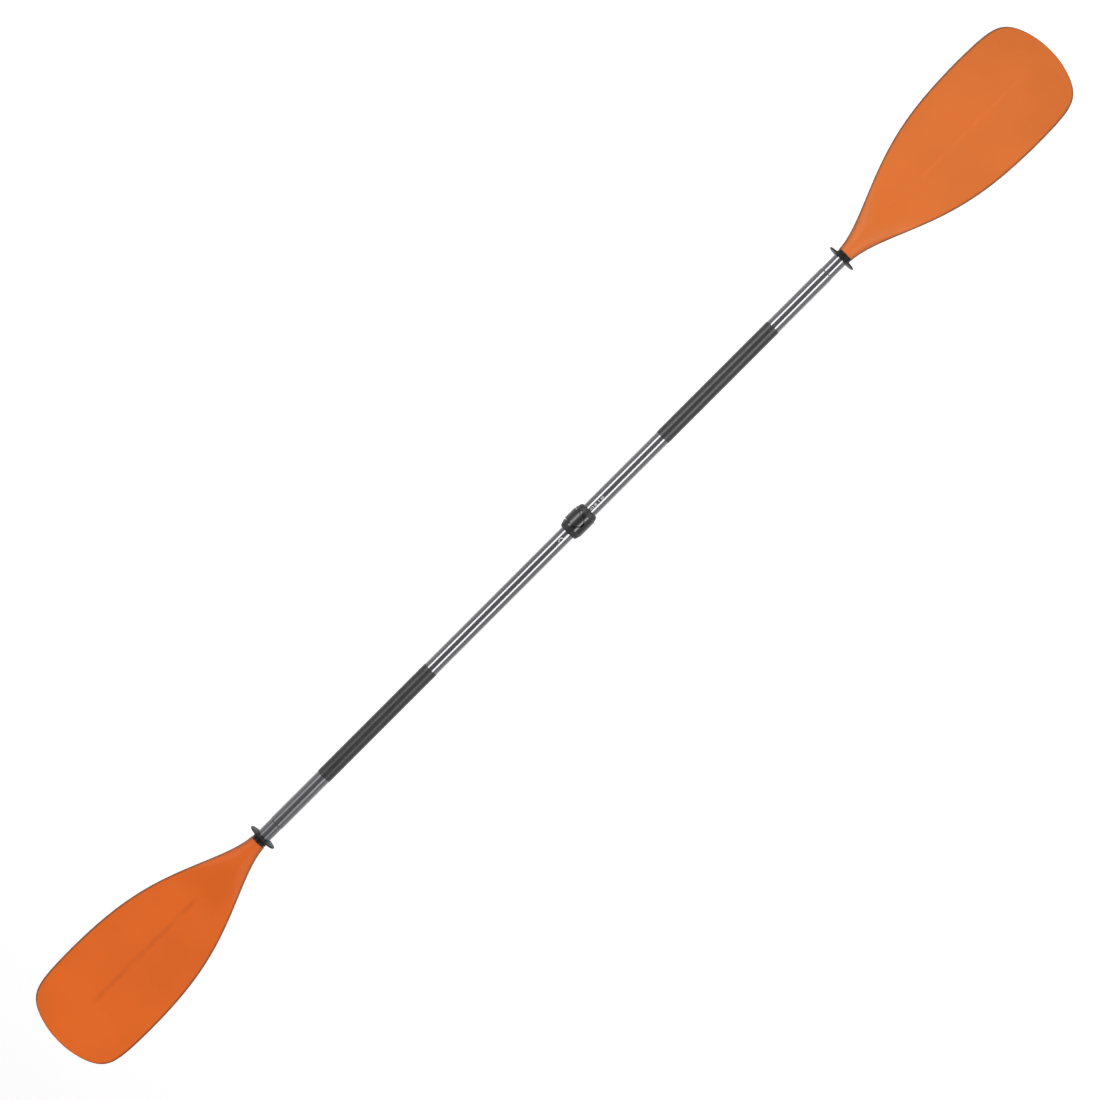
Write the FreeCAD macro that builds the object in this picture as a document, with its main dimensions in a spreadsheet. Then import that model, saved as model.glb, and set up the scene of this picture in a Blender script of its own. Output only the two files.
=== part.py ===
import FreeCAD, Part
import math
import os
import re

import Sketcher

# Take-apart kayak paddle with a round shaft and two spooned blades, in millimetres.
# +X runs along the shaft from the left blade to the right one, +Z is the side of the
# hollow blade faces, and the origin is on the shaft's axis at mid length.
# The left shaft tube is the socket: the inner tube of the right half slides into it,
# and a split collar with a cam lever squeezes its slotted end on the inner tube.

SIZES = (
    ("overall_length", 2200),
    ("blade_length", 445),
    ("blade_width", 181.5),
    ("shoulder_share", 0.963),
    ("tip_bulge", 1.655),
    ("blade_edge", 2.4),
    ("blade_core", 4.4),
    ("blade_spoon", 22),
    ("blade_cup", 4),
    ("rib_height", 11),
    ("rib_half_width", 16),
    ("rib_share", 0.74),
    ("rib_taper", 0.55),
    ("socket_wall", 1.6),
    ("socket_depth", 45),
    ("shaft_od", 25),
    ("shaft_wall", 1.2),
    ("neck_step", 0.5),
    ("neck_length", 86.4),
    ("swage_run", 2),
    ("left_grip_length", 240),
    ("right_grip_length", 244.5),
    ("grip_wall", 0.6),
    ("left_grip_x", 386.5),
    ("right_grip_x", 372.2),
    ("ring_od", 50),
    ("ring_hub", 5),
    ("ring_hub_wall", 3),
    ("ring_rim", 3),
    ("ring_sleeve", 8.3),
    ("ring_sleeve_wall", 1),
    ("left_ring_inset", 10.6),
    ("right_ring_inset", 8.8),
    ("inner_reach", 162),
    ("inner_bond", 60),
    ("cap_length", 18),
    ("cap_spigot", 15),
    ("cap_lead", 1.5),
    ("plug_length", 20),
    ("bulkhead_gap", 12),
    ("slide_fit", 0.05),
    ("bond_gap", 0.02),
    ("collar_x", 63.8),
    ("collar_length", 49.4),
    ("collar_wall", 6.5),
    ("collar_end_wall", 1.8),
    ("collar_shoulder", 2.2),
    ("collar_shoulder_wall", 4),
    ("collar_cone", 9.5),
    ("collar_break", 0.9),
    ("collar_lip", 3.6),
    ("collar_step", 0.1),
    ("joint_gap", 0.5),
    ("slit_width", 3),
    ("slot_run", 14),
    ("ear_drop", 7.3),
    ("cam_reach", 6),
    ("nut_ear", 8.8),
    ("lever_width", 22.4),
    ("lever_proud", 0.9),
    ("lever_wrap", 104),
    ("lever_start", 46),
    ("tip_share", 0.85),
    ("lever_round", 0.8),
    ("lever_clearance", 0.2),
    ("recess_depth", 3),
    ("recess_gap", 1),
    ("recess_wrap", 122),
    ("recess_start", 48),
    ("arch_share", 0.49),
    ("hinge_out", 1.3),
    ("hinge_drop", 3.3),
    ("pin_od", 6.4),
    ("pin_inset", 0.7),
    ("pin_lead", 0.4),
    ("hub_radius", 4.6),
    ("hub_offset_y", 0.35),
    ("hub_offset_z", 0.3),
    ("hub_slot", 5.2),
    ("bolt_od", 4),
    ("bolt_hole_gap", 0.2),
    ("bolt_sink", 0.8),
    ("plate_thickness", 0.95),
    ("washer_thickness", 0.8),
    ("washer_od", 7.6),
    ("nut_flats", 7),
    ("nut_length", 4),
    ("nut_room", 4.9),
    ("bolt_stub", 0.6),
)

# Shape of the blade, as shares of its length or as plain exponents.
SHOULDER_START = 1.585  # how softly the shoulder leaves the socket
SHOULDER_END = 5.27  # how softly the shoulder reaches the full width
CORNER_POWER = 5  # how tight the two corners of the tip are
CUP_RUN = (0.15, 0.6)  # where the cup across the blade begins and is full
FRONT_FLAT = 0.30  # where the face has flattened out
BACK_FLAT = 0.26  # where the back has flattened out beside the rib
RIM_FLOOR = 0.05  # keeps the edge from closing to nothing at the tip
RIB_ROUND = 1.5  # how softly the rib's foot runs out into the plate

# Points and sections that the blade's surface passes through.
HALF_SPAN_STEPS = 12  # points from the blade's centre line to each of its edges
RIB_CROWD = 0.35  # below 1, points stand closer together over the rib
STATIONS = 24  # cross-sections from the blade's mouth to its tip
STATION_SPREAD = 1.3  # above 1, sections stand closer together at the mouth
LAST_STATION = 0.9995  # where the tip closes

# Places and diameters that follow from the sizes.
NECK_OD = "(shaft_od - 2 * neck_step)"
BLADE_MOUTH = "(overall_length / 2 - blade_length)"
BLADE_END = "(overall_length / 2 - blade_length + socket_depth)"
SLEEVE_MOUTH = "(collar_x + collar_length / 2 - collar_lip - collar_step)"
RIGHT_TUBE_END = "(collar_x + collar_length / 2 + joint_gap)"
INNER_OD = "(shaft_od - 2 * shaft_wall - 2 * slide_fit)"
INNER_ID = "(shaft_od - 4 * shaft_wall - 2 * slide_fit)"
INNER_TIP = "(collar_x + collar_length / 2 + joint_gap - inner_reach)"
COLLAR_R = "(shaft_od / 2 + collar_wall)"
COLLAR_END_R = "(shaft_od / 2 + collar_end_wall)"
COLLAR_SHOULDER_R = "(shaft_od / 2 + collar_shoulder_wall)"
LEVER_R = "(shaft_od / 2 + collar_wall + lever_proud)"
RECESS_R = "(shaft_od / 2 + collar_wall - recess_depth)"
RECESS_HALF = "(lever_width / 2 + recess_gap)"
EAR_BACK = "(shaft_od / 2 + ear_drop)"
HINGE_Y = "(shaft_od / 2 + hinge_out)"
HINGE_Z = "(shaft_od / 2 + hinge_drop)"
CAM_EAR = "(shaft_od / 2 + hinge_out - cam_reach)"
NUT_SEAT = "(nut_ear + washer_thickness)"

HEXAGON = 2 / math.sqrt(3)  # a hexagon's width over its corners, over its width across flats

SAME = 0.01  # millimetres or radians within which two places are the same
LEAST_CUT = 0.01  # cubic millimetres that a cut has to remove

doc = FreeCAD.newDocument("Paddle")
sheet = doc.addObject("Spreadsheet::Sheet", "Sizes")
for row, (alias, value) in enumerate(SIZES, start=1):
    sheet.set(f"A{row}", alias)
    sheet.set(f"B{row}", str(value))
    sheet.setAlias(f"B{row}", alias)
doc.recompute()


def size(text):
    """The value of an expression in the sheet's aliases."""
    return float(sheet.evalExpression(text))


def bind(thing, path, text):
    """Ties a property to an expression in the sheet's aliases."""
    thing.setExpression(path, re.sub(r"[a-z]\w+", lambda word: "Sizes." + word.group(), text))


def place(thing, x="0", y="0", z="0", half_turn=False):
    """Puts a sub-part in the paddle's frame, turned end for end if asked."""
    turn = FreeCAD.Rotation(FreeCAD.Vector(0, 0, 1), 180 if half_turn else 0)
    base = FreeCAD.Vector(size(x), size(y), size(z))
    thing.Placement = FreeCAD.Placement(base, turn)
    for axis, text in zip("xyz", (x, y, z)):
        if text != "0":
            bind(thing, ".Placement.Base." + axis, text)
    return thing


def new_body(label):
    body = doc.addObject("PartDesign::Body", label)
    body.Label = label
    return body


def new_sketch(body, name, role, offset="0"):
    """An empty sketch on one of the body's own origin planes."""
    sketch = body.newObject("Sketcher::SketchObject", name)
    plane = [item for item in body.Origin.OriginFeatures if item.Role == role][0]
    sketch.AttachmentSupport = [(plane, "")]
    sketch.MapMode = "FlatFace"
    if offset != "0":
        sketch.AttachmentOffset = FreeCAD.Placement(FreeCAD.Vector(0, 0, size(offset)), FreeCAD.Rotation())
        bind(sketch, "AttachmentOffset.Base.z", offset)
    return sketch


def hold_point(sketch, item, which, across, up):
    """Fixes a point at bound distances from the sketch's origin."""
    for kind, text, axis in (("DistanceX", across, -2), ("DistanceY", up, -1)):
        if text == "0":
            sketch.addConstraint(Sketcher.Constraint("PointOnObject", item, which, axis))
            continue
        held = sketch.addConstraint(Sketcher.Constraint(kind, -1, 1, item, which, size(text)))
        bind(sketch, f"Constraints[{held}]", text)


def add_polygon(sketch, points):
    """A closed polygon whose corners are pairs of expressions."""
    corners = [FreeCAD.Vector(size(across), size(up), 0) for across, up in points]
    count = len(corners)
    lines = []
    for index, corner in enumerate(corners):
        line = Part.LineSegment(corner, corners[(index + 1) % count])
        lines.append(sketch.addGeometry(line, False))
    for index, line in enumerate(lines):
        after = lines[(index + 1) % count]
        sketch.addConstraint(Sketcher.Constraint("Coincident", line, 2, after, 1))
    for line, (across, up) in zip(lines, points):
        hold_point(sketch, line, 1, across, up)


def add_box(sketch, left, right, low, high):
    add_polygon(sketch, ((left, low), (right, low), (right, high), (left, high)))


def add_circle(sketch, radius, across="0", up="0"):
    centre = FreeCAD.Vector(size(across), size(up), 0)
    item = sketch.addGeometry(Part.Circle(centre, FreeCAD.Vector(0, 0, 1), size(radius)), False)
    held = sketch.addConstraint(Sketcher.Constraint("Radius", item, size(radius)))
    bind(sketch, f"Constraints[{held}]", radius)
    hold_point(sketch, item, 3, across, up)


def feature(body, kind, name, sketch):
    made = body.newObject("PartDesign::" + kind, name)
    made.Profile = sketch
    return made


def revolve(body, name, points, turns=None, kind="Revolution"):
    """Turns a polygon drawn in the XY plane about the X axis, fully or by two bound angles."""
    sketch = new_sketch(body, name + "_profile", "XY_Plane")
    add_polygon(sketch, points)
    made = feature(body, kind, name, sketch)
    made.ReferenceAxis = (sketch, ["H_Axis"])
    made.Angle = 360
    if turns:
        made.Type = "TwoAngles"
        bind(made, "Angle", turns[0])
        bind(made, "Angle2", turns[1])
    return made


def pad(body, name, sketch, length, midplane=False, reverse=False):
    made = feature(body, "Pad", name, sketch)
    made.Midplane = midplane
    made.Reversed = reverse
    bind(made, "Length", length)
    return made


def cut(body, name, make):
    """Makes a cutting feature and checks that it has removed material."""
    doc.recompute()
    before = body.Shape.Volume
    made = make()
    doc.recompute()
    if body.Shape.Volume > before - LEAST_CUT:
        raise ValueError(f"{body.Label}: {name} cuts nothing")
    return made


def groove(body, name, points, turns):
    return cut(body, name, lambda: revolve(body, name, points, turns, "Groove"))


def pocket(body, name, sketch, length, midplane=False, reverse=False):
    def make():
        made = feature(body, "Pocket", name, sketch)
        made.Midplane = midplane
        made.Reversed = reverse
        bind(made, "Length", length)
        return made

    return cut(body, name, make)


def dress(body, kind, name, amount, picks):
    """Fillets or chamfers the edges that the test picks."""
    doc.recompute()
    base = body.Tip
    names = [f"Edge{index}" for index, edge in enumerate(base.Shape.Edges, start=1) if picks(edge)]
    if not names:
        raise ValueError(f"{body.Label}: {name} finds no edge")
    made = body.newObject("PartDesign::" + kind, name)
    made.Base = (base, names)
    bind(made, "Radius" if kind == "Fillet" else "Size", amount)
    return made


def smooth_step(value, low, high):
    share = min(max((value - low) / (high - low), 0.0), 1.0)
    return share * share * (3.0 - 2.0 * share)


def bell(value):
    return max(0.0, 1.0 - value * value) ** RIB_ROUND


class BladeForm:
    """A round socket that flattens into a spooned plate with a rib along its back."""

    def __init__(self):
        self.length = size("blade_length")
        self.half_width = size("blade_width / 2")
        self.socket = size(f"{NECK_OD} / 2 + socket_wall")
        self.edge = size("blade_edge / 2")
        self.core = size("blade_core / 2")
        self.depth = size("socket_depth")

    def planform(self, x):
        """Half width: a shoulder that swells from the socket, closed by a domed tip.

        The dome is an arc across the tip, and a power mean rounds its corners off.
        """
        swell = min(x / (size("shoulder_share") * self.length), 1.0)
        shoulder = 1.0 - (1.0 - swell ** SHOULDER_START) ** SHOULDER_END
        side = self.socket + (self.half_width - self.socket) * shoulder
        dome_radius = size("tip_bulge") * self.half_width
        into_dome = max(dome_radius - (self.length - x), 0.0)
        dome = math.sqrt(dome_radius ** 2 - into_dome ** 2)
        mean = side ** -CORNER_POWER + dome ** -CORNER_POWER - dome_radius ** -CORNER_POWER
        return mean ** (-1.0 / CORNER_POWER)

    def rim(self, x):
        """Half of the edge's thickness, which rounds off just before the tip."""
        inside = max(1.0 - (self.length - x) / self.edge, 0.0)
        return self.edge * math.sqrt(max(1.0 - inside * inside, RIM_FLOOR))

    def middle(self, x, y):
        """Height of the plate's middle surface: the spoon along it and the cup across it."""
        run = max(0.0, x - self.depth) / (self.length - self.depth)
        cup = size("blade_cup") * smooth_step(x / self.length, *CUP_RUN)
        return size("blade_spoon") * run * run + cup * (y / self.half_width) ** 2

    def rib(self, x, y):
        run = (x - self.depth) / (size("rib_share") * self.length - self.depth)
        run = min(max(run, 0.0), 1.0)
        width = size("rib_half_width") * (1.0 - size("rib_taper") * run)
        return size("rib_height") * (1.0 - run) * bell(y / width)

    def section(self, x):
        """Closed outline across the blade: hollow face, round edge, ribbed back, round edge."""
        half = self.planform(x)
        rim = self.rim(x)
        spread = smooth_step(x / self.length, 0.0, BACK_FLAT)
        front_flat = smooth_step(x, self.depth, FRONT_FLAT * self.length)
        back_flat = smooth_step(x, self.depth, BACK_FLAT * self.length)
        front, back = [], []
        for step in range(-HALF_SPAN_STEPS, HALF_SPAN_STEPS + 1):
            share = step / HALF_SPAN_STEPS
            round_y = math.sin(0.5 * math.pi * share)
            plate_y = share * (RIB_CROWD + (1.0 - RIB_CROWD) * share * share)
            y = (half - rim) * (round_y + (plate_y - round_y) * spread)
            crown = 1.0 - (y / half) ** 2
            oval = self.socket * math.sqrt(crown)
            plate = rim + (self.core - self.edge) * crown * rim / self.edge
            front_rise = oval + (plate - oval) * front_flat
            back_rise = oval + (plate + self.rib(x, y) - oval) * back_flat
            front.append(FreeCAD.Vector(x, y, self.middle(x, y) + front_rise))
            back.append(FreeCAD.Vector(x, y, self.middle(x, y) - back_rise))
        low_edge = FreeCAD.Vector(x, -half, self.middle(x, half))
        high_edge = FreeCAD.Vector(x, half, self.middle(x, half))
        return Part.Wire([
            spline(front),
            Part.Arc(front[-1], high_edge, back[-1]).toShape(),
            spline(back[::-1]),
            Part.Arc(back[0], low_edge, front[0]).toShape(),
        ])

    def solid(self):
        """Sections stand closest together at the mouth and at the tip."""
        sections = []
        for station in range(STATIONS + 1):
            share = math.sin(0.5 * math.pi * station / STATIONS) ** STATION_SPREAD
            sections.append(self.section(min(share, LAST_STATION) * self.length))
        return Part.makeLoft(sections, True, False)


def spline(points):
    curve = Part.BSplineCurve()
    count = len(points)
    curve.interpolate(Points=points, Parameters=[index / (count - 1) for index in range(count)])
    return curve.toShape()


def make_blade(label, half_turn):
    """Local frame: origin in the socket's mouth, +X to the tip, +Z the hollow face."""
    bore = size(f"{NECK_OD} / 2 + bond_gap")
    depth = size("socket_depth + bond_gap")
    solid = BladeForm().solid()
    blade = doc.addObject("Part::Feature", label)
    blade.Label = label
    blade.Shape = solid.cut(Part.makeCylinder(bore, depth, FreeCAD.Vector(), FreeCAD.Vector(1, 0, 0)))
    return place(blade, f"-{BLADE_MOUTH}" if half_turn else BLADE_MOUTH, half_turn=half_turn)


def shaft_profile(length):
    """Tube with its blade end swaged down to the neck, drawn above the X axis."""
    full = "shaft_od / 2"
    neck = f"{NECK_OD} / 2"
    return (
        ("0", f"{neck} - shaft_wall"),
        ("neck_length", f"{neck} - shaft_wall"),
        ("neck_length + swage_run", f"{full} - shaft_wall"),
        (length, f"{full} - shaft_wall"),
        (length, full),
        ("neck_length + swage_run", full),
        ("neck_length", neck),
        ("0", neck),
    )


def make_left_shaft_tube():
    """Local frame: origin at the blade end. The other end is slotted along its back."""
    body = new_body("left_shaft_tube")
    length = f"{BLADE_END} + {SLEEVE_MOUTH}"
    revolve(body, "left_tube", shaft_profile(length))
    slot = new_sketch(body, "left_slot", "XY_Plane")
    start = f"{BLADE_END} + collar_x - collar_length / 2 - slot_run"
    add_box(slot, start, f"{length} + slit_width", "-slit_width / 2", "slit_width / 2")
    pocket(body, "left_slot_cut", slot, "shaft_od")
    ease = new_sketch(body, "left_slot_end", "XY_Plane")
    add_circle(ease, "slit_width / 2 + slide_fit", start)
    pocket(body, "left_slot_end_cut", ease, "shaft_od")
    return place(body, f"-{BLADE_END}")


def make_right_shaft_tube():
    """Local frame: origin at the blade end."""
    body = new_body("right_shaft_tube")
    revolve(body, "right_tube", shaft_profile(f"{BLADE_END} - {RIGHT_TUBE_END}"))
    return place(body, BLADE_END, half_turn=True)


def make_inner_tube():
    """Local frame: origin at the end that carries the cap."""
    body = new_body("inner_tube")
    sketch = new_sketch(body, "inner_ring", "YZ_Plane")
    add_circle(sketch, f"{INNER_OD} / 2")
    add_circle(sketch, f"{INNER_ID} / 2")
    pad(body, "inner_wall", sketch, "inner_reach - cap_length + inner_bond")
    return place(body, f"{INNER_TIP} + cap_length")


def make_inner_tube_end_cap():
    """Local frame: origin at the cap's nose."""
    body = new_body("inner_tube_end_cap")
    outer = f"{INNER_OD} / 2"
    spigot = f"{INNER_ID} / 2 - bond_gap"
    revolve(body, "cap", (
        ("0", "0"),
        ("0", f"{outer} - cap_lead"),
        ("cap_lead", outer),
        ("cap_length - bond_gap", outer),
        ("cap_length - bond_gap", spigot),
        ("cap_length + cap_spigot", spigot),
        ("cap_length + cap_spigot", f"{spigot} - cap_lead"),
        ("cap_length - cap_lead", f"{spigot} - cap_lead"),
        ("cap_length - cap_lead", "0"),
    ))
    return place(body, INNER_TIP)


def make_plug(label, radius, x, half_turn=False):
    """Foam plug that keeps water out of a tube. Local frame: origin at its first face."""
    body = new_body(label)
    sketch = new_sketch(body, label + "_disc", "YZ_Plane")
    add_circle(sketch, radius)
    pad(body, label + "_length", sketch, "plug_length")
    dress(body, "Chamfer", label + "_lead", "cap_lead", lambda edge: True)
    return place(body, x, half_turn=half_turn)


def make_grip(label, x, length):
    """Thin sleeve on the shaft. Local frame: origin at its middle."""
    body = new_body(label)
    half = f"{length} / 2"
    inner = "shaft_od / 2 + slide_fit"
    outer = "shaft_od / 2 + grip_wall"
    revolve(body, label + "_sleeve", (
        (f"-{half}", inner),
        (half, inner),
        (half, f"{outer} - grip_wall / 2"),
        (f"{half} - grip_wall", outer),
        (f"-{half} + grip_wall", outer),
        (f"-{half}", f"{outer} - grip_wall / 2"),
    ))
    return place(body, x)


def make_drip_ring(label, x, half_turn=False):
    """Rubber disc with a short sleeve. Local frame: origin at the disc's middle, +X to the blade."""
    body = new_body(label)
    bore = f"{NECK_OD} / 2 + slide_fit"
    hub = f"{NECK_OD} / 2 + ring_hub_wall"
    sleeve = f"{NECK_OD} / 2 + ring_sleeve_wall"
    rim = "ring_od / 2 - ring_rim / 2"
    revolve(body, label + "_disc", (
        ("-ring_hub / 2", bore),
        ("ring_sleeve", bore),
        ("ring_sleeve", f"{sleeve} - ring_sleeve_wall / 2"),
        ("ring_sleeve - ring_sleeve_wall / 2", sleeve),
        ("ring_hub / 2 + ring_sleeve_wall", sleeve),
        ("ring_hub / 2", f"{hub} - ring_sleeve_wall"),
        ("ring_rim / 2", rim),
        ("ring_rim / 4", "ring_od / 2"),
        ("-ring_rim / 4", "ring_od / 2"),
        ("-ring_rim / 2", rim),
        ("-ring_hub / 2", f"{hub} - ring_sleeve_wall"),
    ))
    return place(body, x, half_turn=half_turn)


def stands_at(edge, turn, low, high):
    """Whether an edge stands on the X axis' cylinder, at a turn from +Y, between two radii."""
    at = edge.CenterOfMass
    off_turn = math.atan2(at.z, at.y) - math.radians(size(turn))
    radii = [math.hypot(corner.Point.y, corner.Point.z) for corner in edge.Vertexes]
    fits = abs(min(radii) - size(low)) < SAME and abs(max(radii) - size(high)) < SAME
    return abs(off_turn) < SAME and fits


def runs_at(edge, radius):
    """Whether an edge runs along a cylinder around the X axis."""
    ends = [edge.valueAt(edge.FirstParameter), edge.valueAt(edge.LastParameter)]
    points = ends + [edge.valueAt((edge.FirstParameter + edge.LastParameter) / 2)]
    return all(abs(math.hypot(point.y, point.z) - size(radius)) < SAME for point in points)


def make_clamp_collar():
    """Local frame: origin on the shaft's axis at the collar's middle, slit towards -Z."""
    body = new_body("clamp_collar")
    half = "collar_length / 2"
    revolve(body, "collar", (
        (f"-{half}", "shaft_od / 2 + bond_gap"),
        (f"{half} - collar_lip", "shaft_od / 2 + bond_gap"),
        (f"{half} - collar_lip", f"{INNER_OD} / 2 + 2 * slide_fit"),
        (half, f"{INNER_OD} / 2 + 2 * slide_fit"),
        (half, COLLAR_END_R),
        (f"{half} - collar_shoulder", COLLAR_SHOULDER_R),
        (f"{half} - collar_cone + collar_break", f"{COLLAR_R} - collar_break"),
        (f"{half} - collar_cone", COLLAR_R),
        (f"-{half} + collar_cone", COLLAR_R),
        (f"-{half} + collar_cone - collar_break", f"{COLLAR_R} - collar_break"),
        (f"-{half} + collar_shoulder", COLLAR_SHOULDER_R),
        (f"-{half}", COLLAR_END_R),
    ))
    ears = new_sketch(body, "collar_ears", "YZ_Plane")
    add_box(ears, "-nut_ear", CAM_EAR, f"-{EAR_BACK}", "-shaft_od / 2 - slit_width / 2")
    pad(body, "collar_ears_pad", ears, "lever_width - 2 * lever_clearance", midplane=True)
    groove(body, "collar_recess", (
        (f"-{RECESS_HALF}", RECESS_R),
        (RECESS_HALF, RECESS_R),
        (RECESS_HALF, f"2 * {LEVER_R}"),
        (f"-{RECESS_HALF}", f"2 * {LEVER_R}"),
    ), ("recess_wrap", "recess_start"))
    dress(body, "Chamfer", "recess_arch", f"arch_share * {COLLAR_R}",
          lambda edge: stands_at(edge, "recess_wrap", RECESS_R, COLLAR_R))
    bay = new_sketch(body, "hub_bay", "YZ_Plane")
    bay_roof = f"-{HINGE_Z} + hub_radius + hub_offset_z - recess_gap / 2"
    add_box(bay, CAM_EAR, f"2 * {COLLAR_R}", f"-2 * {COLLAR_R}", bay_roof)
    pocket(body, "hub_bay_cut", bay, f"2 * {RECESS_HALF}", midplane=True)
    nut_bay = new_sketch(body, "nut_bay", "XZ_Plane", "nut_ear")
    add_circle(nut_bay, "nut_room", "0", f"-{HINGE_Z}")
    pocket(body, "nut_bay_cut", nut_bay, f"2 * {COLLAR_R}", reverse=True)
    bolt_way = new_sketch(body, "bolt_way", "XZ_Plane")
    add_circle(bolt_way, "bolt_od / 2 + bolt_hole_gap", "0", f"-{HINGE_Z}")
    pocket(body, "bolt_way_cut", bolt_way, f"2 * {COLLAR_R}", midplane=True)
    slit = new_sketch(body, "collar_slit", "XY_Plane")
    add_box(slit, "-collar_length", "collar_length", "-slit_width / 2", "slit_width / 2")
    pocket(body, "collar_slit_cut", slit, f"2 * {COLLAR_R}")
    return place(body, "collar_x")


def make_clamp_lever():
    """Local frame: origin on the shaft's axis at the collar's middle. The arm wraps the
    collar from the hub behind it, over +Y, to a rounded tip in front."""
    body = new_body("clamp_lever")
    inside = f"{RECESS_R} + lever_clearance"
    revolve(body, "lever_arm", (
        ("-lever_width / 2", inside),
        ("lever_width / 2", inside),
        ("lever_width / 2", LEVER_R),
        ("-lever_width / 2", LEVER_R),
    ), turns=("lever_wrap", "lever_start"))
    dress(body, "Fillet", "lever_tip", "tip_share * lever_width / 2",
          lambda edge: stands_at(edge, "lever_wrap", inside, LEVER_R))
    dress(body, "Fillet", "lever_edges", "lever_round", lambda edge: runs_at(edge, LEVER_R))
    hub = new_sketch(body, "lever_hub", "YZ_Plane")
    add_circle(hub, "hub_radius", f"{HINGE_Y} - hub_offset_y", f"-{HINGE_Z} + hub_offset_z")
    pad(body, "lever_hub_pad", hub, "lever_width", midplane=True)
    bore = new_sketch(body, "pin_bore", "YZ_Plane")
    add_circle(bore, "pin_od / 2 + slide_fit", HINGE_Y, f"-{HINGE_Z}")
    pocket(body, "pin_bore_cut", bore, "2 * lever_width", midplane=True)
    slot = new_sketch(body, "hub_slot", "YZ_Plane")
    slot_roof = f"-{HINGE_Z} + bolt_od / 2 + hub_offset_z + bolt_hole_gap"
    add_box(slot, "0", f"2 * {LEVER_R}", f"-2 * {LEVER_R}", slot_roof)
    pocket(body, "hub_slot_cut", slot, "hub_slot", midplane=True)
    return place(body, "collar_x")


def make_lever_barrel_pin():
    """Cross-drilled pin that the lever turns on. Local frame: origin at its middle."""
    body = new_body("lever_barrel_pin")
    sketch = new_sketch(body, "pin_disc", "YZ_Plane")
    add_circle(sketch, "pin_od / 2")
    pad(body, "pin_length_pad", sketch, "lever_width - 2 * pin_inset", midplane=True)
    dress(body, "Chamfer", "pin_ends", "pin_lead", lambda edge: True)
    cross = new_sketch(body, "pin_cross", "XZ_Plane")
    add_circle(cross, "bolt_od / 2 + bond_gap")
    pocket(body, "pin_cross_cut", cross, "2 * pin_od", midplane=True)
    return place(body, "collar_x", HINGE_Y, f"-{HINGE_Z}")


def make_tension_bolt():
    """Runs across the slit, through both ears. Local frame: origin in the slit, +Y to the pin."""
    body = new_body("tension_bolt")
    tail = f"({NUT_SEAT} + nut_length + bolt_stub)"
    sketch = new_sketch(body, "bolt_disc", "XZ_Plane", tail)
    add_circle(sketch, "bolt_od / 2")
    pad(body, "bolt_length", sketch, f"{tail} + {HINGE_Y} + pin_od / 2 - bolt_sink", reverse=True)
    dress(body, "Chamfer", "bolt_ends", "pin_lead", lambda edge: True)
    return place(body, "collar_x", "0", f"-{HINGE_Z}")


def make_bolt_washer():
    """Local frame: origin in the slit, on the bolt's axis."""
    body = new_body("bolt_washer")
    sketch = new_sketch(body, "washer_disc", "XZ_Plane", "nut_ear + bond_gap")
    add_circle(sketch, "washer_od / 2")
    add_circle(sketch, "bolt_od / 2 + bolt_hole_gap")
    pad(body, "washer_pad", sketch, "washer_thickness - 2 * bond_gap")
    return place(body, "collar_x", "0", f"-{HINGE_Z}")


def make_adjuster_nut():
    """Local frame: origin in the slit, on the bolt's axis."""
    body = new_body("adjuster_nut")
    sketch = new_sketch(body, "nut_hexagon", "XZ_Plane", NUT_SEAT)
    side = f"nut_flats / 2 * {HEXAGON:.6f}"
    add_polygon(sketch, (
        (side, "0"),
        (f"{side} / 2", "nut_flats / 2"),
        (f"-{side} / 2", "nut_flats / 2"),
        (f"-({side})", "0"),
        (f"-{side} / 2", "-nut_flats / 2"),
        (f"{side} / 2", "-nut_flats / 2"),
    ))
    add_circle(sketch, "bolt_od / 2 + slide_fit")
    pad(body, "nut_pad", sketch, "nut_length")
    return place(body, "collar_x", "0", f"-{HINGE_Z}")


def make_cam_plate():
    """Wear plate between the cam and its ear. Local frame: origin in the slit."""
    body = new_body("cam_plate")
    sketch = new_sketch(body, "plate_outline", "XZ_Plane", f"-{CAM_EAR} - bond_gap")
    edge = "(lever_width / 2 - pin_inset)"
    half = "(pin_od / 2 + recess_gap / 2)"
    add_box(sketch, f"-{edge}", edge, f"-{half}", half)
    add_circle(sketch, "bolt_od / 2 + bolt_hole_gap")
    pad(body, "plate_pad", sketch, "plate_thickness", reverse=True)
    return place(body, "collar_x", "0", f"-{HINGE_Z}")


def make_all():
    neck_plug = f"{NECK_OD} / 2 - shaft_wall - slide_fit"
    tube_plug = "shaft_od / 2 - shaft_wall - slide_fit"
    return [
        make_blade("left_blade", True),
        make_blade("right_blade", False),
        make_left_shaft_tube(),
        make_right_shaft_tube(),
        make_inner_tube(),
        make_inner_tube_end_cap(),
        make_plug("left_end_plug", neck_plug, f"-{BLADE_END} + cap_lead"),
        make_plug("right_end_plug", neck_plug, f"{BLADE_END} - cap_lead", half_turn=True),
        make_plug("shaft_bulkhead", tube_plug, f"{INNER_TIP} - bulkhead_gap", half_turn=True),
        make_grip("left_grip", "-left_grip_x", "left_grip_length"),
        make_grip("right_grip", "right_grip_x", "right_grip_length"),
        make_drip_ring("left_drip_ring", f"-{BLADE_MOUTH} + left_ring_inset", half_turn=True),
        make_drip_ring("right_drip_ring", f"{BLADE_MOUTH} - right_ring_inset"),
        make_clamp_collar(),
        make_clamp_lever(),
        make_lever_barrel_pin(),
        make_tension_bolt(),
        make_bolt_washer(),
        make_adjuster_nut(),
        make_cam_plate(),
    ]


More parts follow.
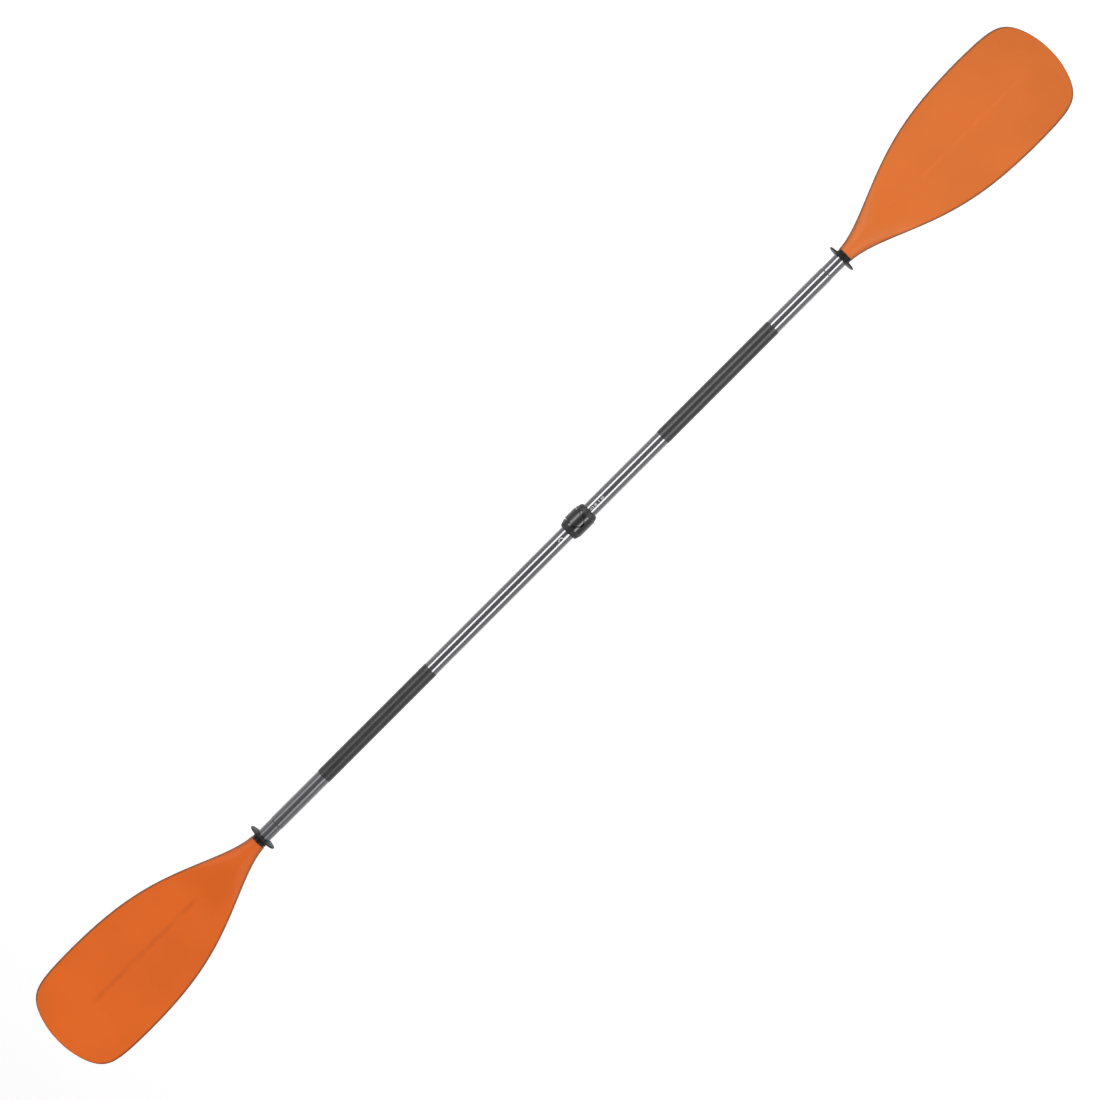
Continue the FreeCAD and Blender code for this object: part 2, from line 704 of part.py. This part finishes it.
def check_and_export(parts):
    doc.recompute()
    for item in doc.Objects:
        if {"Invalid", "Error"} & set(item.State):
            raise ValueError(f"{item.Label} failed: {item.State}")
    for part in parts:
        shape = part.Shape
        if shape.isNull() or not shape.isValid() or len(shape.Solids) != 1:
            raise ValueError(f"{part.Label} isn't one valid solid")
    os.makedirs("parts", exist_ok=True)
    for part in parts:
        part.Shape.exportStep(f"parts/{part.Label}.step")


check_and_export(make_all())
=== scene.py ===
import math

import bmesh
import bpy
from mathutils import Matrix, Vector


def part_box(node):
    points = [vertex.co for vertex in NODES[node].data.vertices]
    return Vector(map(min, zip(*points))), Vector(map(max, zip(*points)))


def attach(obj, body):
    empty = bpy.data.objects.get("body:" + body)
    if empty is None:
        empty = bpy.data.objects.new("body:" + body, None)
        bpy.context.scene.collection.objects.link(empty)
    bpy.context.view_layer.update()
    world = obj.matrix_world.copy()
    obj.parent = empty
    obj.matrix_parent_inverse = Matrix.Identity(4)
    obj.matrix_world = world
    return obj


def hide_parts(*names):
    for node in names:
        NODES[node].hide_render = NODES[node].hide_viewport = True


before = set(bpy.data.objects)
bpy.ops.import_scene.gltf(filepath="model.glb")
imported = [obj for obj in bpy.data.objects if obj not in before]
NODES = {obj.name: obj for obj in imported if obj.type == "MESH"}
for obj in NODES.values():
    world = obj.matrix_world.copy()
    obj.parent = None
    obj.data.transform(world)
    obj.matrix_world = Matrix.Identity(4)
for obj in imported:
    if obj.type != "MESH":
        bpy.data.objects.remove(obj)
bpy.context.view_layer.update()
scene = bpy.context.scene

SHAFT_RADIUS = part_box("right_shaft_tube")[1].y
NECK_STEP = 0.0005
SOCKET_WALL = 0.0016
NECK_RADIUS = SHAFT_RADIUS - NECK_STEP
BLADE_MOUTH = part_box("right_blade")[0].x
BLADE_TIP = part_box("right_blade")[1].x
BLADE_LENGTH = BLADE_TIP - BLADE_MOUTH
BLADE_HALF_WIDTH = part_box("right_blade")[1].y
BLADE_SOCKET_RADIUS = NECK_RADIUS + SOCKET_WALL

# How the blade's outline swells from the socket and closes at the tip, as in the CAD model.
SHOULDER_SHARE = 0.963
SHOULDER_START = 1.585
SHOULDER_END = 5.27
TIP_BULGE = 1.655
CORNER_POWER = 5

# Width of the painted shade band along the blade's outline.
EDGE_SHADE_WIDTH = 0.0045
# Where the painted shade on the tube beside each blade mouth starts and reaches full strength.
NECK_SHADE_START = BLADE_MOUTH - 0.0060
NECK_SHADE_FULL = BLADE_MOUTH - 0.0035

# ---------------------------------------------------------------- camera, light and floor
CAMERA_DISTANCE = 4.536
CAMERA_TILT = math.radians(2.3)
LENS = 94.24
STRIP_DISTANCE = 3.0
STRIP_WIDTH = 1.0

def make_camera():
    data = bpy.data.cameras.new("camera")
    data.lens = LENS
    data.sensor_width = 36
    data.clip_end = 100
    camera = bpy.data.objects.new("camera", data)
    scene.collection.objects.link(camera)
    back = Vector((math.sin(CAMERA_TILT), 0, math.cos(CAMERA_TILT)))
    across = Vector((0, 1, 0))
    along = across.cross(back)
    right = (along - across).normalized()
    up = (along + across).normalized()
    turn = Matrix((right, up, back)).transposed()
    camera.matrix_world = Matrix.Translation(back * CAMERA_DISTANCE) @ turn.to_4x4()
    scene.camera = camera


def make_strip(name, side, angle, length, centre_x, radiance):
    """Long softbox parallel to the shaft, at an angle from the vertical, facing the paddle."""
    data = bpy.data.lights.new(name, "AREA")
    data.shape = "RECTANGLE"
    data.size = STRIP_WIDTH
    data.size_y = length
    data.energy = radiance * math.pi * STRIP_WIDTH * length
    light = bpy.data.objects.new(name, data)
    scene.collection.objects.link(light)
    sideways = side * STRIP_DISTANCE * math.sin(angle)
    place = Vector((centre_x, sideways, STRIP_DISTANCE * math.cos(angle)))
    back = Vector((0, place.y, place.z)).normalized()
    up = Vector((1, 0, 0))
    right = up.cross(back)
    turn = Matrix((right, up, back)).transposed()
    light.matrix_world = Matrix.Translation(place) @ turn.to_4x4()


def make_world():
    world = bpy.data.worlds.new("studio")
    world.use_nodes = True
    scene.world = world
    tree = world.node_tree
    tree.nodes.clear()
    place = tree.nodes.new("ShaderNodeTexCoord")
    split = tree.nodes.new("ShaderNodeSeparateXYZ")
    ramp = tree.nodes.new("ShaderNodeValToRGB")
    back = tree.nodes.new("ShaderNodeBackground")
    out = tree.nodes.new("ShaderNodeOutputWorld")
    tree.links.new(place.outputs["Generated"], split.inputs[0])
    tree.links.new(split.outputs["Z"], ramp.inputs[0])
    ramp.color_ramp.elements[0].position = 0.25
    ramp.color_ramp.elements[0].color = (0.66, 0.66, 0.67, 1)
    ramp.color_ramp.elements[1].position = 0.90
    ramp.color_ramp.elements[1].color = (0.36, 0.36, 0.37, 1)
    fade = tree.nodes.new("ShaderNodeMapRange")
    for index, number in enumerate((-0.45, -0.05, 0.66, 1.0), start=1):
        fade.inputs[index].default_value = number
    tree.links.new(split.outputs["X"], fade.inputs[0])
    tree.links.new(ramp.outputs[0], back.inputs["Color"])
    tree.links.new(fade.outputs[0], back.inputs["Strength"])
    tree.links.new(back.outputs[0], out.inputs[0])


def make_floor():
    mesh = bpy.data.meshes.new("floor")
    half = 30.0
    drop = -0.9
    corners = [(x * half, y * half, drop) for x, y in ((-1, -1), (1, -1), (1, 1), (-1, 1))]
    mesh.from_pydata(corners, [], [(0, 1, 2, 3)])
    floor = bpy.data.objects.new("floor", mesh)
    scene.collection.objects.link(floor)
    material = bpy.data.materials.new("floor")
    material.use_nodes = True
    shader = material.node_tree.nodes["Principled BSDF"]
    shader.inputs["Base Color"].default_value = (0.93, 0.93, 0.93, 1)
    shader.inputs["Roughness"].default_value = 0.9
    shader.inputs["Specular IOR Level"].default_value = 0.1
    shader.inputs["Emission Color"].default_value = (1, 1, 1, 1)
    shader.inputs["Emission Strength"].default_value = 0.25
    mesh.materials.append(material)


# ---------------------------------------------------------------- materials
class Recipe:
    """A node material with short ways to add textures in the object's own coordinates."""

    def __init__(self, name, colour, roughness, metallic=0.0):
        self.material = bpy.data.materials.new(name)
        self.material.use_nodes = True
        self.tree = self.material.node_tree
        self.shader = self.tree.nodes["Principled BSDF"]
        self.set("Base Color", (*colour, 1))
        self.set("Roughness", roughness)
        self.set("Metallic", metallic)
        self.place = self.tree.nodes.new("ShaderNodeTexCoord").outputs["Object"]
        self.split = self.tree.nodes.new("ShaderNodeSeparateXYZ")
        self.join(self.place, self.split.inputs[0])
        self.normal = None

    def set(self, socket, value):
        self.shader.inputs[socket].default_value = value

    def join(self, start, end):
        self.tree.links.new(start, end)

    def feed(self, value, socket):
        """Joins an output, or sets a plain number or colour."""
        if isinstance(value, bpy.types.NodeSocket):
            self.join(value, socket)
        else:
            socket.default_value = value

    def stretched(self, x, y, z):
        node = self.tree.nodes.new("ShaderNodeMapping")
        node.inputs["Scale"].default_value = (x, y, z)
        self.join(self.place, node.inputs["Vector"])
        return node.outputs[0]

    def noise(self, scale, detail=3.0, where=None, rough=0.5):
        node = self.tree.nodes.new("ShaderNodeTexNoise")
        node.inputs["Scale"].default_value = scale
        node.inputs["Detail"].default_value = detail
        node.inputs["Roughness"].default_value = rough
        self.join(where or self.place, node.inputs["Vector"])
        return node.outputs["Fac"]

    def math(self, what, a, b=0.0, c=0.0):
        node = self.tree.nodes.new("ShaderNodeMath")
        node.operation = what
        for index, value in enumerate((a, b, c)):
            self.feed(value, node.inputs[index])
        return node.outputs[0]

    def span(self, value, low, high, start=0.0, end=1.0, soft=False):
        """Maps low..high of a value to start..end, with its ends held."""
        node = self.tree.nodes.new("ShaderNodeMapRange")
        if soft:
            node.interpolation_type = "SMOOTHSTEP"
        for index, number in enumerate((value, low, high, start, end)):
            self.feed(number, node.inputs[index])
        return node.outputs[0]

    def mix(self, share, first, second):
        node = self.tree.nodes.new("ShaderNodeMix")
        node.data_type = "RGBA"
        for name, value in (("Factor_Float", share), ("A_Color", first), ("B_Color", second)):
            socket = [item for item in node.inputs if item.identifier == name][0]
            self.feed(value if not isinstance(value, tuple) else (*value, 1)[:4], socket)
        return [item for item in node.outputs if item.identifier == "Result_Color"][0]

    def shade(self, colour, factor):
        """A colour made lighter or darker by a plain factor."""
        node = self.tree.nodes.new("ShaderNodeVectorMath")
        node.operation = "SCALE"
        self.join(colour, node.inputs[0])
        self.feed(factor, node.inputs["Scale"])
        return node.outputs[0]

    def near_outline(self, out, width):
        """How near a point is to the blade's outline seen from the front, 1 on it and 0 further in."""
        half = BLADE_HALF_WIDTH
        from_mouth = self.math("MAXIMUM", self.math("SUBTRACT", out, BLADE_MOUTH), 0.0001)
        swell = self.math("MINIMUM", self.math("DIVIDE", from_mouth, SHOULDER_SHARE * BLADE_LENGTH), 1.0)
        thin = self.math("SUBTRACT", 1.0, self.math("POWER", swell, SHOULDER_START))
        full = self.math("SUBTRACT", 1.0, self.math("POWER", thin, SHOULDER_END))
        side = self.math("MULTIPLY_ADD", full, half - BLADE_SOCKET_RADIUS, BLADE_SOCKET_RADIUS)
        dome_radius = TIP_BULGE * half
        left = self.math("MAXIMUM", self.math("SUBTRACT", BLADE_LENGTH, from_mouth), 0.0001)
        into = self.math("MAXIMUM", self.math("SUBTRACT", dome_radius, left), 0.0)
        dome = self.math("SQRT", self.math("SUBTRACT", dome_radius ** 2, self.math("MULTIPLY", into, into)))
        ratio = self.math("DIVIDE", side, dome)
        rest = self.math("DIVIDE", side, dome_radius)
        power = self.math("ADD", self.math("POWER", ratio, CORNER_POWER), 1.0)
        power = self.math("SUBTRACT", power, self.math("POWER", rest, CORNER_POWER))
        edge = self.math("DIVIDE", side, self.math("POWER", power, 1.0 / CORNER_POWER))
        beside = self.math("ABSOLUTE", self.split.outputs["Y"])
        return self.span(self.math("SUBTRACT", edge, beside), 0.0, width, 1.0, 0.0, soft=True)

    def facing(self):
        """How far the surface faces +Z or -Z of the object, from 1 to -1."""
        node = self.tree.nodes.new("ShaderNodeSeparateXYZ")
        self.join(self.tree.nodes.new("ShaderNodeTexCoord").outputs["Normal"], node.inputs[0])
        return node.outputs["Z"]

    def bump(self, height, strength, distance):
        node = self.tree.nodes.new("ShaderNodeBump")
        node.inputs["Strength"].default_value = strength
        node.inputs["Distance"].default_value = distance
        self.join(height, node.inputs["Height"])
        if self.normal:
            self.join(self.normal, node.inputs["Normal"])
        self.normal = node.outputs[0]
        self.join(self.normal, self.shader.inputs["Normal"])


def tint(colour, factor):
    return tuple(min(1.0, channel * factor) for channel in colour)


def blade_material(name, orange, line_start, line_end, ridge_shade_tone, line_width, line_y, painted_light_falloff):
    """Satin moulded plastic with a thin ridge line of painted shade and highlight on the hollow side,
    painted shade round its edge, and a painted light falloff along its length.
    """
    m = Recipe(name, orange, 0.5)
    cloud = m.noise(9.0, 4.0)
    grain = m.noise(900.0, 2.0)
    colour = m.mix(m.span(cloud, 0.35, 0.65), tint(orange, 0.955), tint(orange, 1.035))
    out = m.math("ABSOLUTE", m.split.outputs["X"])
    beside = m.math("ABSOLUTE", m.math("SUBTRACT", m.split.outputs["Y"], line_y))
    across = m.span(beside, 0.0005, line_width, 1.0, 0.0, soft=True)
    first, last = BLADE_MOUTH + line_start, BLADE_MOUTH + line_end
    begin = m.span(out, first, first + 0.03, soft=True)
    end = m.span(out, last - 0.05, last, 1.0, 0.0, soft=True)
    broken = m.span(m.noise(38.0, 3.0, m.stretched(1.0, 2.0, 0.3)), 0.38, 0.62, 0.05, 1.0)
    front = m.span(m.split.outputs["Z"], -0.002, 0.001)
    # Painted ridge shading: a thin line along the hollow face, tinted darker as painted shade on the left
    # blade and lighter as a painted highlight on the right.
    ridge_shade_mask = m.math("MULTIPLY", m.math("MULTIPLY", across, begin), m.math("MULTIPLY", end, broken))
    ridge_shade_mask = m.math("MULTIPLY", ridge_shade_mask, front)
    colour = m.mix(m.math("MULTIPLY", ridge_shade_mask, 0.8), colour, tint(orange, ridge_shade_tone))
    scuff = m.noise(150.0, 5.0, m.stretched(1.0, 0.12, 1.0), 0.7)
    at_tip = m.span(out, BLADE_TIP - 0.06, BLADE_TIP, 0.0, 1.0)
    worn = m.math("MULTIPLY", m.span(scuff, 0.62, 0.72), m.math("MULTIPLY", at_tip, 0.35))
    colour = m.mix(worn, colour, (0.72, 0.25, 0.10))
    along = m.span(out, BLADE_MOUTH, BLADE_TIP)
    # Painted light falloff: the colour is scaled lighter towards one end of the blade and darker towards
    # the other, as the lamps fall off.
    colour = m.shade(colour, m.span(along, 0.0, 1.0, *painted_light_falloff))
    # Painted shade: the sideways-facing edge and a thin band along the outline on the faces are darkened to
    # dark brown, in uneven patches.
    rim = m.span(m.math("ABSOLUTE", m.facing()), 0.25, 0.85, 1.0, 0.0, soft=True)
    rim = m.math("MAXIMUM", rim, m.near_outline(out, EDGE_SHADE_WIDTH))
    wear_and_shade_patches = m.span(m.noise(220.0, 4.0), 0.45, 0.7, 0.95, 0.60)
    colour = m.mix(m.math("MULTIPLY", rim, wear_and_shade_patches), colour, (0.10, 0.055, 0.018))
    m.join(colour, m.shader.inputs["Base Color"])
    rough = m.span(m.noise(60.0, 3.0), 0.3, 0.7, 0.50, 0.58)
    m.join(m.math("ADD", rough, m.math("MULTIPLY", worn, 0.2)), m.shader.inputs["Roughness"])
    m.set("Specular IOR Level", 0.4)
    m.bump(m.noise(14.0, 2.0), 0.25, 0.0012)
    m.bump(grain, 0.12, 0.00012)
    return m.material


def aluminium_material(name, base):
    """Anodised drawn tube: fine lines along it, changes in tone and painted shade beside the blade."""
    m = Recipe(name, base, 0.25, 1.0)
    drawn = m.noise(420.0, 3.0, m.stretched(0.012, 1.0, 1.0))
    cloud = m.noise(14.0, 3.0, m.stretched(0.35, 1.0, 1.0))
    colour = m.mix(m.span(cloud, 0.3, 0.7), tint(base, 0.90), tint(base, 1.10))
    colour = m.mix(m.span(drawn, 0.35, 0.65, 0.0, 0.25), colour, tint(base, 1.35))
    out = m.math("ABSOLUTE", m.split.outputs["X"])
    # Painted shade: the tube between drip ring and blade mouth is darkened towards dark brown.
    neck_shade = m.span(out, NECK_SHADE_START, NECK_SHADE_FULL, 0.0, 0.85, soft=True)
    colour = m.mix(neck_shade, colour, (0.045, 0.022, 0.010))
    m.join(colour, m.shader.inputs["Base Color"])
    m.join(m.span(drawn, 0.3, 0.7, 0.15, 0.23), m.shader.inputs["Roughness"])
    m.bump(drawn, 0.10, 0.00008)
    return m.material


def plastic_material(name, base, rough, grain_scale, grain, specular=0.5):
    """Moulded technical plastic with a fine spark-eroded grain."""
    m = Recipe(name, base, rough)
    cloud = m.noise(60.0, 3.0)
    fine = m.noise(grain_scale, 3.0)
    colour = m.mix(m.span(cloud, 0.3, 0.7), tint(base, 0.8), tint(base, 1.25))
    m.join(colour, m.shader.inputs["Base Color"])
    worn = m.span(m.noise(110.0, 2.0), 0.3, 0.7, rough - 0.04, rough + 0.05)
    m.join(worn, m.shader.inputs["Roughness"])
    m.set("Specular IOR Level", specular)
    m.bump(fine, grain, 0.0001)
    return m.material


def clamp_material(name, base, rough, end_rough, ior):
    """Glossy moulded nylon that is matt on the collar's two sloping ends, with lighter worn specks over it.
    """
    m = Recipe(name, base, rough)
    low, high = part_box("clamp_collar")
    middle, half = (low.x + high.x) / 2, (high.x - low.x) / 2
    out = m.math("ABSOLUTE", m.math("SUBTRACT", m.split.outputs["X"], middle))
    end = m.span(out, half - 0.0100, half - 0.0088)
    colour = m.mix(m.span(m.noise(60.0, 3.0), 0.3, 0.7), tint(base, 0.8), tint(base, 1.25))
    wear_and_shade_patches = m.span(m.noise(420.0, 4.0, None, 0.65), 0.60, 0.72, 0.0, 0.22)
    colour = m.mix(wear_and_shade_patches, colour, (0.06, 0.06, 0.062))
    m.join(colour, m.shader.inputs["Base Color"])
    local = m.span(m.noise(110.0, 2.0), 0.3, 0.7, -0.03, 0.04)
    m.join(m.math("ADD", local, m.span(end, 0.0, 1.0, rough, end_rough)), m.shader.inputs["Roughness"])
    m.set("IOR", ior)
    m.bump(m.noise(1500.0, 3.0), 0.08, 0.0001)
    return m.material


def steel_material(name, base, rough):
    m = Recipe(name, base, rough, 1.0)
    turned = m.noise(1800.0, 2.0, m.stretched(1.0, 0.05, 1.0))
    colour = m.mix(m.span(m.noise(250.0, 4.0), 0.3, 0.7), tint(base, 0.82), tint(base, 1.1))
    m.join(colour, m.shader.inputs["Base Color"])
    m.join(m.span(turned, 0.3, 0.7, rough - 0.06, rough + 0.1), m.shader.inputs["Roughness"])
    m.bump(turned, 0.12, 0.00005)
    return m.material


def foam_material(name, base):
    m = Recipe(name, base, 0.85)
    node = m.tree.nodes.new("ShaderNodeTexVoronoi")
    node.inputs["Scale"].default_value = 900.0
    m.join(m.place, node.inputs["Vector"])
    cells = node.outputs["Distance"]
    m.join(m.mix(cells, tint(base, 0.7), tint(base, 1.2)), m.shader.inputs["Base Color"])
    m.bump(cells, 0.5, 0.0004)
    return m.material


def dress(node, material):
    for slot in NODES[node].material_slots:
        slot.material = material


gunmetal = aluminium_material("gunmetal_aluminium", (0.215, 0.212, 0.220))
gunmetal_inner = aluminium_material("gunmetal_inner", (0.24, 0.237, 0.245))
clamp_black = clamp_material("clamp_black", (0.005, 0.005, 0.006), 0.18, 0.50, 1.62)
lever_black = clamp_material("lever_black", (0.006, 0.006, 0.007), 0.28, 0.28, 1.65)
cap_black = plastic_material("cap_black", (0.02, 0.02, 0.021), 0.42, 900.0, 0.15)
sleeve_black = plastic_material("sleeve_black", (0.019, 0.0185, 0.019), 0.38, 1300.0, 0.3, 0.6)
rubber_black = plastic_material("rubber_black", (0.006, 0.006, 0.0065), 0.50, 700.0, 0.15, 0.3)
print_white = plastic_material("print_white", (0.86, 0.86, 0.86), 0.45, 1500.0, 0.1)
steel = steel_material("clamp_steel_bright", (0.62, 0.61, 0.60), 0.26)
foam = foam_material("plug_foam_grey", (0.16, 0.16, 0.17))

# The two blades are one orange plastic: the right copy is tinted paler and hazier than the left as painted
# sheen, and each carries its own painted ridge line and light falloff.
orange_left_painted_light = blade_material(
    "blade_orange_left_painted_light", (0.728, 0.122, 0.003), line_start=0.110, line_end=0.385,
    ridge_shade_tone=0.84, line_width=0.0075, line_y=0.005, painted_light_falloff=(0.97, 1.03))
orange_right_painted_light = blade_material(
    "blade_orange_right_painted_light", (0.645, 0.142, 0.013), line_start=0.150, line_end=0.410,
    ridge_shade_tone=1.09, line_width=0.0045, line_y=0.001, painted_light_falloff=(1.045, 0.94))
dress("left_blade", orange_left_painted_light)
dress("right_blade", orange_right_painted_light)
for node_name in ("left_shaft_tube", "right_shaft_tube"):
    dress(node_name, gunmetal)
dress("inner_tube", gunmetal_inner)
dress("inner_tube_end_cap", cap_black)
for node_name in ("left_end_plug", "right_end_plug", "shaft_bulkhead"):
    dress(node_name, foam)
dress("clamp_collar", clamp_black)
dress("clamp_lever", lever_black)
for node_name in ("lever_barrel_pin", "tension_bolt", "bolt_washer", "adjuster_nut", "cam_plate"):
    dress(node_name, steel)


# ---------------------------------------------------------------- pieces
def rounded(points, radius, steps):
    """A closed outline with each corner replaced by a short curve."""
    outline = []
    count = len(points)
    for index, point in enumerate(points):
        before, here = Vector(points[index - 1]), Vector(point)
        after = Vector(points[(index + 1) % count])
        reach = min(radius, 0.45 * (here - before).length, 0.45 * (after - here).length)
        start = here + (before - here).normalized() * reach
        end = here + (after - here).normalized() * reach
        for step in range(steps + 1):
            t = step / steps
            outline.append((1 - t) ** 2 * start + 2 * t * (1 - t) * here + t * t * end)
    return outline


def lathe(name, outline, centre_x, direction, turns=96):
    """A closed outline of (along, radius) pairs turned about the shaft's axis."""
    mesh = bmesh.new()
    rings = []
    for turn in range(turns):
        angle = 2 * math.pi * turn / turns
        ring = []
        for along, radius in outline:
            place = (centre_x + direction * along, radius * math.cos(angle), radius * math.sin(angle))
            ring.append(mesh.verts.new(place))
        rings.append(ring)
    count = len(outline)
    for turn in range(turns):
        here, after = rings[turn], rings[(turn + 1) % turns]
        for index in range(count):
            nxt = (index + 1) % count
            mesh.faces.new((here[index], here[nxt], after[nxt], after[index]))
    bmesh.ops.recalc_face_normals(mesh, faces=mesh.faces)
    for face in mesh.faces:
        face.smooth = True
    return finish_piece(name, mesh)


def finish_piece(name, mesh):
    data = bpy.data.meshes.new(name)
    mesh.to_mesh(data)
    mesh.free()
    piece = bpy.data.objects.new(name, data)
    scene.collection.objects.link(piece)
    return piece


def make_ring(name, node, body, direction):
    """Rubber drip ring: a disc with a blunt rim and a grooved sleeve towards the blade."""
    low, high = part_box(node)
    bore = NECK_RADIUS + 0.00006
    rim = high.y
    back = -0.0025
    centre = low.x - back if direction > 0 else high.x + back
    sleeve_end = high.x - low.x + back
    outline = [
        (back, bore), (sleeve_end, bore), (sleeve_end, bore + 0.0009),
        (sleeve_end - 0.0016, bore + 0.0009), (sleeve_end - 0.0019, bore + 0.0005),
        (sleeve_end - 0.0028, bore + 0.0005), (sleeve_end - 0.0031, bore + 0.0009),
        (0.0034, bore + 0.0010), (0.0024, bore + 0.0024), (0.0014, rim - 0.0034),
        (0.0015, rim - 0.0010), (0.0006, rim), (-0.0006, rim), (-0.0015, rim - 0.0010),
        (-0.0013, rim - 0.0034), (-0.0021, bore + 0.0026), (back, bore + 0.0018),
    ]
    piece = lathe(name, rounded(outline, 0.0006, 4), centre, direction)
    piece.data.materials.append(rubber_black)
    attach(piece, body)
    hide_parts(node)


def make_grip(name, node, body):
    """Shrunk-on sleeve: faint bands where it follows the hand, and turned-in ends."""
    low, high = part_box(node)
    inner = SHAFT_RADIUS + 0.00006
    outer = high.y - 0.00003
    half = (high.x - low.x) / 2
    outline = [(-half, inner), (half, inner), (half, outer - 0.00025), (half - 0.0007, outer)]
    steps = 160
    for step in range(1, steps):
        along = half - 0.0007 - (2 * half - 0.0014) * step / steps
        swell = 0.00004 * math.sin(along * 900.0) * math.sin(along * 71.0 + 0.6)
        outline.append((along, outer - 0.00005 + swell))
    outline += [(-half + 0.0007, outer), (-half, outer - 0.00025)]
    piece = lathe(name, outline, (low.x + high.x) / 2, 1)
    piece.data.materials.append(sleeve_black)
    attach(piece, body)
    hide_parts(node)


def wrap_print(name, flat, body):
    """Lays flat artwork, drawn in metres along and round the shaft, on the shaft as a thin print."""
    lowest = min(vertex.co.y for vertex in flat.verts)
    highest = max(vertex.co.y for vertex in flat.verts)
    cut = lowest
    while cut < highest:
        cut += 0.0004
        everything = flat.verts[:] + flat.edges[:] + flat.faces[:]
        bmesh.ops.bisect_plane(flat, geom=everything, plane_co=(0, cut, 0), plane_no=(0, 1, 0))
    bmesh.ops.triangulate(flat, faces=flat.faces)
    bmesh.ops.solidify(flat, geom=flat.faces, thickness=0.00003)
    for vertex in flat.verts:
        radius = SHAFT_RADIUS + 0.00002 + (0.00003 if abs(vertex.co.z) > 0.00001 else 0.0)
        angle = vertex.co.y / SHAFT_RADIUS
        vertex.co = (vertex.co.x, radius * math.sin(angle), radius * math.cos(angle))
    bmesh.ops.recalc_face_normals(flat, faces=flat.faces)
    piece = finish_piece(name, flat)
    piece.data.materials.append(print_white)
    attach(piece, body)


def add_shape(flat, corners):
    flat.faces.new([flat.verts.new((x, y, 0)) for x, y in corners])


def add_bar(flat, left, right, low, high):
    add_shape(flat, ((left, low), (right, low), (right, high), (left, high)))


def add_arc(flat, x, y, radius, thick, start, end, steps=14):
    """Part of a ring, between two angles in degrees."""
    for step in range(steps):
        first = math.radians(start + (end - start) * step / steps)
        second = math.radians(start + (end - start) * (step + 1) / steps)
        corners = []
        inner = radius - thick
        for angle, reach in ((first, radius), (second, radius), (second, inner), (first, inner)):
            corners.append((x + reach * math.cos(angle), y + reach * math.sin(angle)))
        add_shape(flat, corners)


def add_digits(flat, text, x, y, height):
    """Plain numerals that read along the shaft."""
    curve = bpy.data.curves.new("numerals", "FONT")
    curve.body = text
    curve.size = height / 0.7
    holder = bpy.data.objects.new("numerals", curve)
    scene.collection.objects.link(holder)
    bpy.context.view_layer.update()
    final = holder.evaluated_get(bpy.context.evaluated_depsgraph_get())
    shape = bpy.data.meshes.new_from_object(final)
    shape.transform(Matrix.Translation((x, y - height / 2, 0)))
    flat.from_mesh(shape)
    bpy.data.objects.remove(holder)
    bpy.data.curves.remove(curve)
    bpy.data.meshes.remove(shape)


def make_prints():
    """Index marks beside the clamp: an arrow, bars and two angles, and on the left an arc and ticks."""
    right = bmesh.new()
    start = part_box("clamp_collar")[1].x
    add_shape(right, ((start + 0.0010, 0), (start + 0.0050, -0.0019), (start + 0.0050, -0.0007)))
    add_shape(right, ((start + 0.0010, 0), (start + 0.0050, 0.0007), (start + 0.0050, 0.0019)))
    add_bar(right, start + 0.0074, start + 0.0084, -0.0021, 0.0021)
    add_digits(right, "30", start + 0.0104, 0.0, 0.0036)
    add_bar(right, start + 0.0205, start + 0.0213, -0.0021, 0.0021)
    add_digits(right, "60", start + 0.0250, 0.0, 0.0042)
    wrap_print("index_print_right", right, "right_half")
    left = bmesh.new()
    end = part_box("clamp_collar")[0].x
    add_arc(left, end - 0.0155, -0.0030, 0.0050, 0.0010, 15, 165)
    add_shape(left, ((end - 0.0122, -0.0022), (end - 0.0092, -0.0022), (end - 0.0107, -0.0040)))
    for step in range(4):
        tick = end - 0.0080 + step * 0.0018
        add_bar(left, tick, tick + 0.0007, -0.0040, -0.0015 - 0.0006 * (step % 2))
    wrap_print("index_print_left", left, "left_half")


make_ring("drip_ring_left", "left_drip_ring", "left_ring", -1)
make_ring("drip_ring_right", "right_drip_ring", "right_ring", 1)
make_grip("grip_sleeve_left", "left_grip", "left_half")
make_grip("grip_sleeve_right", "right_grip", "right_half")
make_prints()

# ---------------------------------------------------------------- stage
scene.view_settings.view_transform = "Standard"
make_camera()
make_world()
make_floor()
for light_side, light_angle in ((1, 43.5), (-1, 40.0)):
    turn_up = math.radians(light_angle)
    make_strip(f"strip_{light_angle}", light_side, turn_up, 2.75, 0.62, 5.6)
    make_strip(f"strip_{light_angle}_dim", light_side, turn_up, 0.9, -1.21, 0.8)
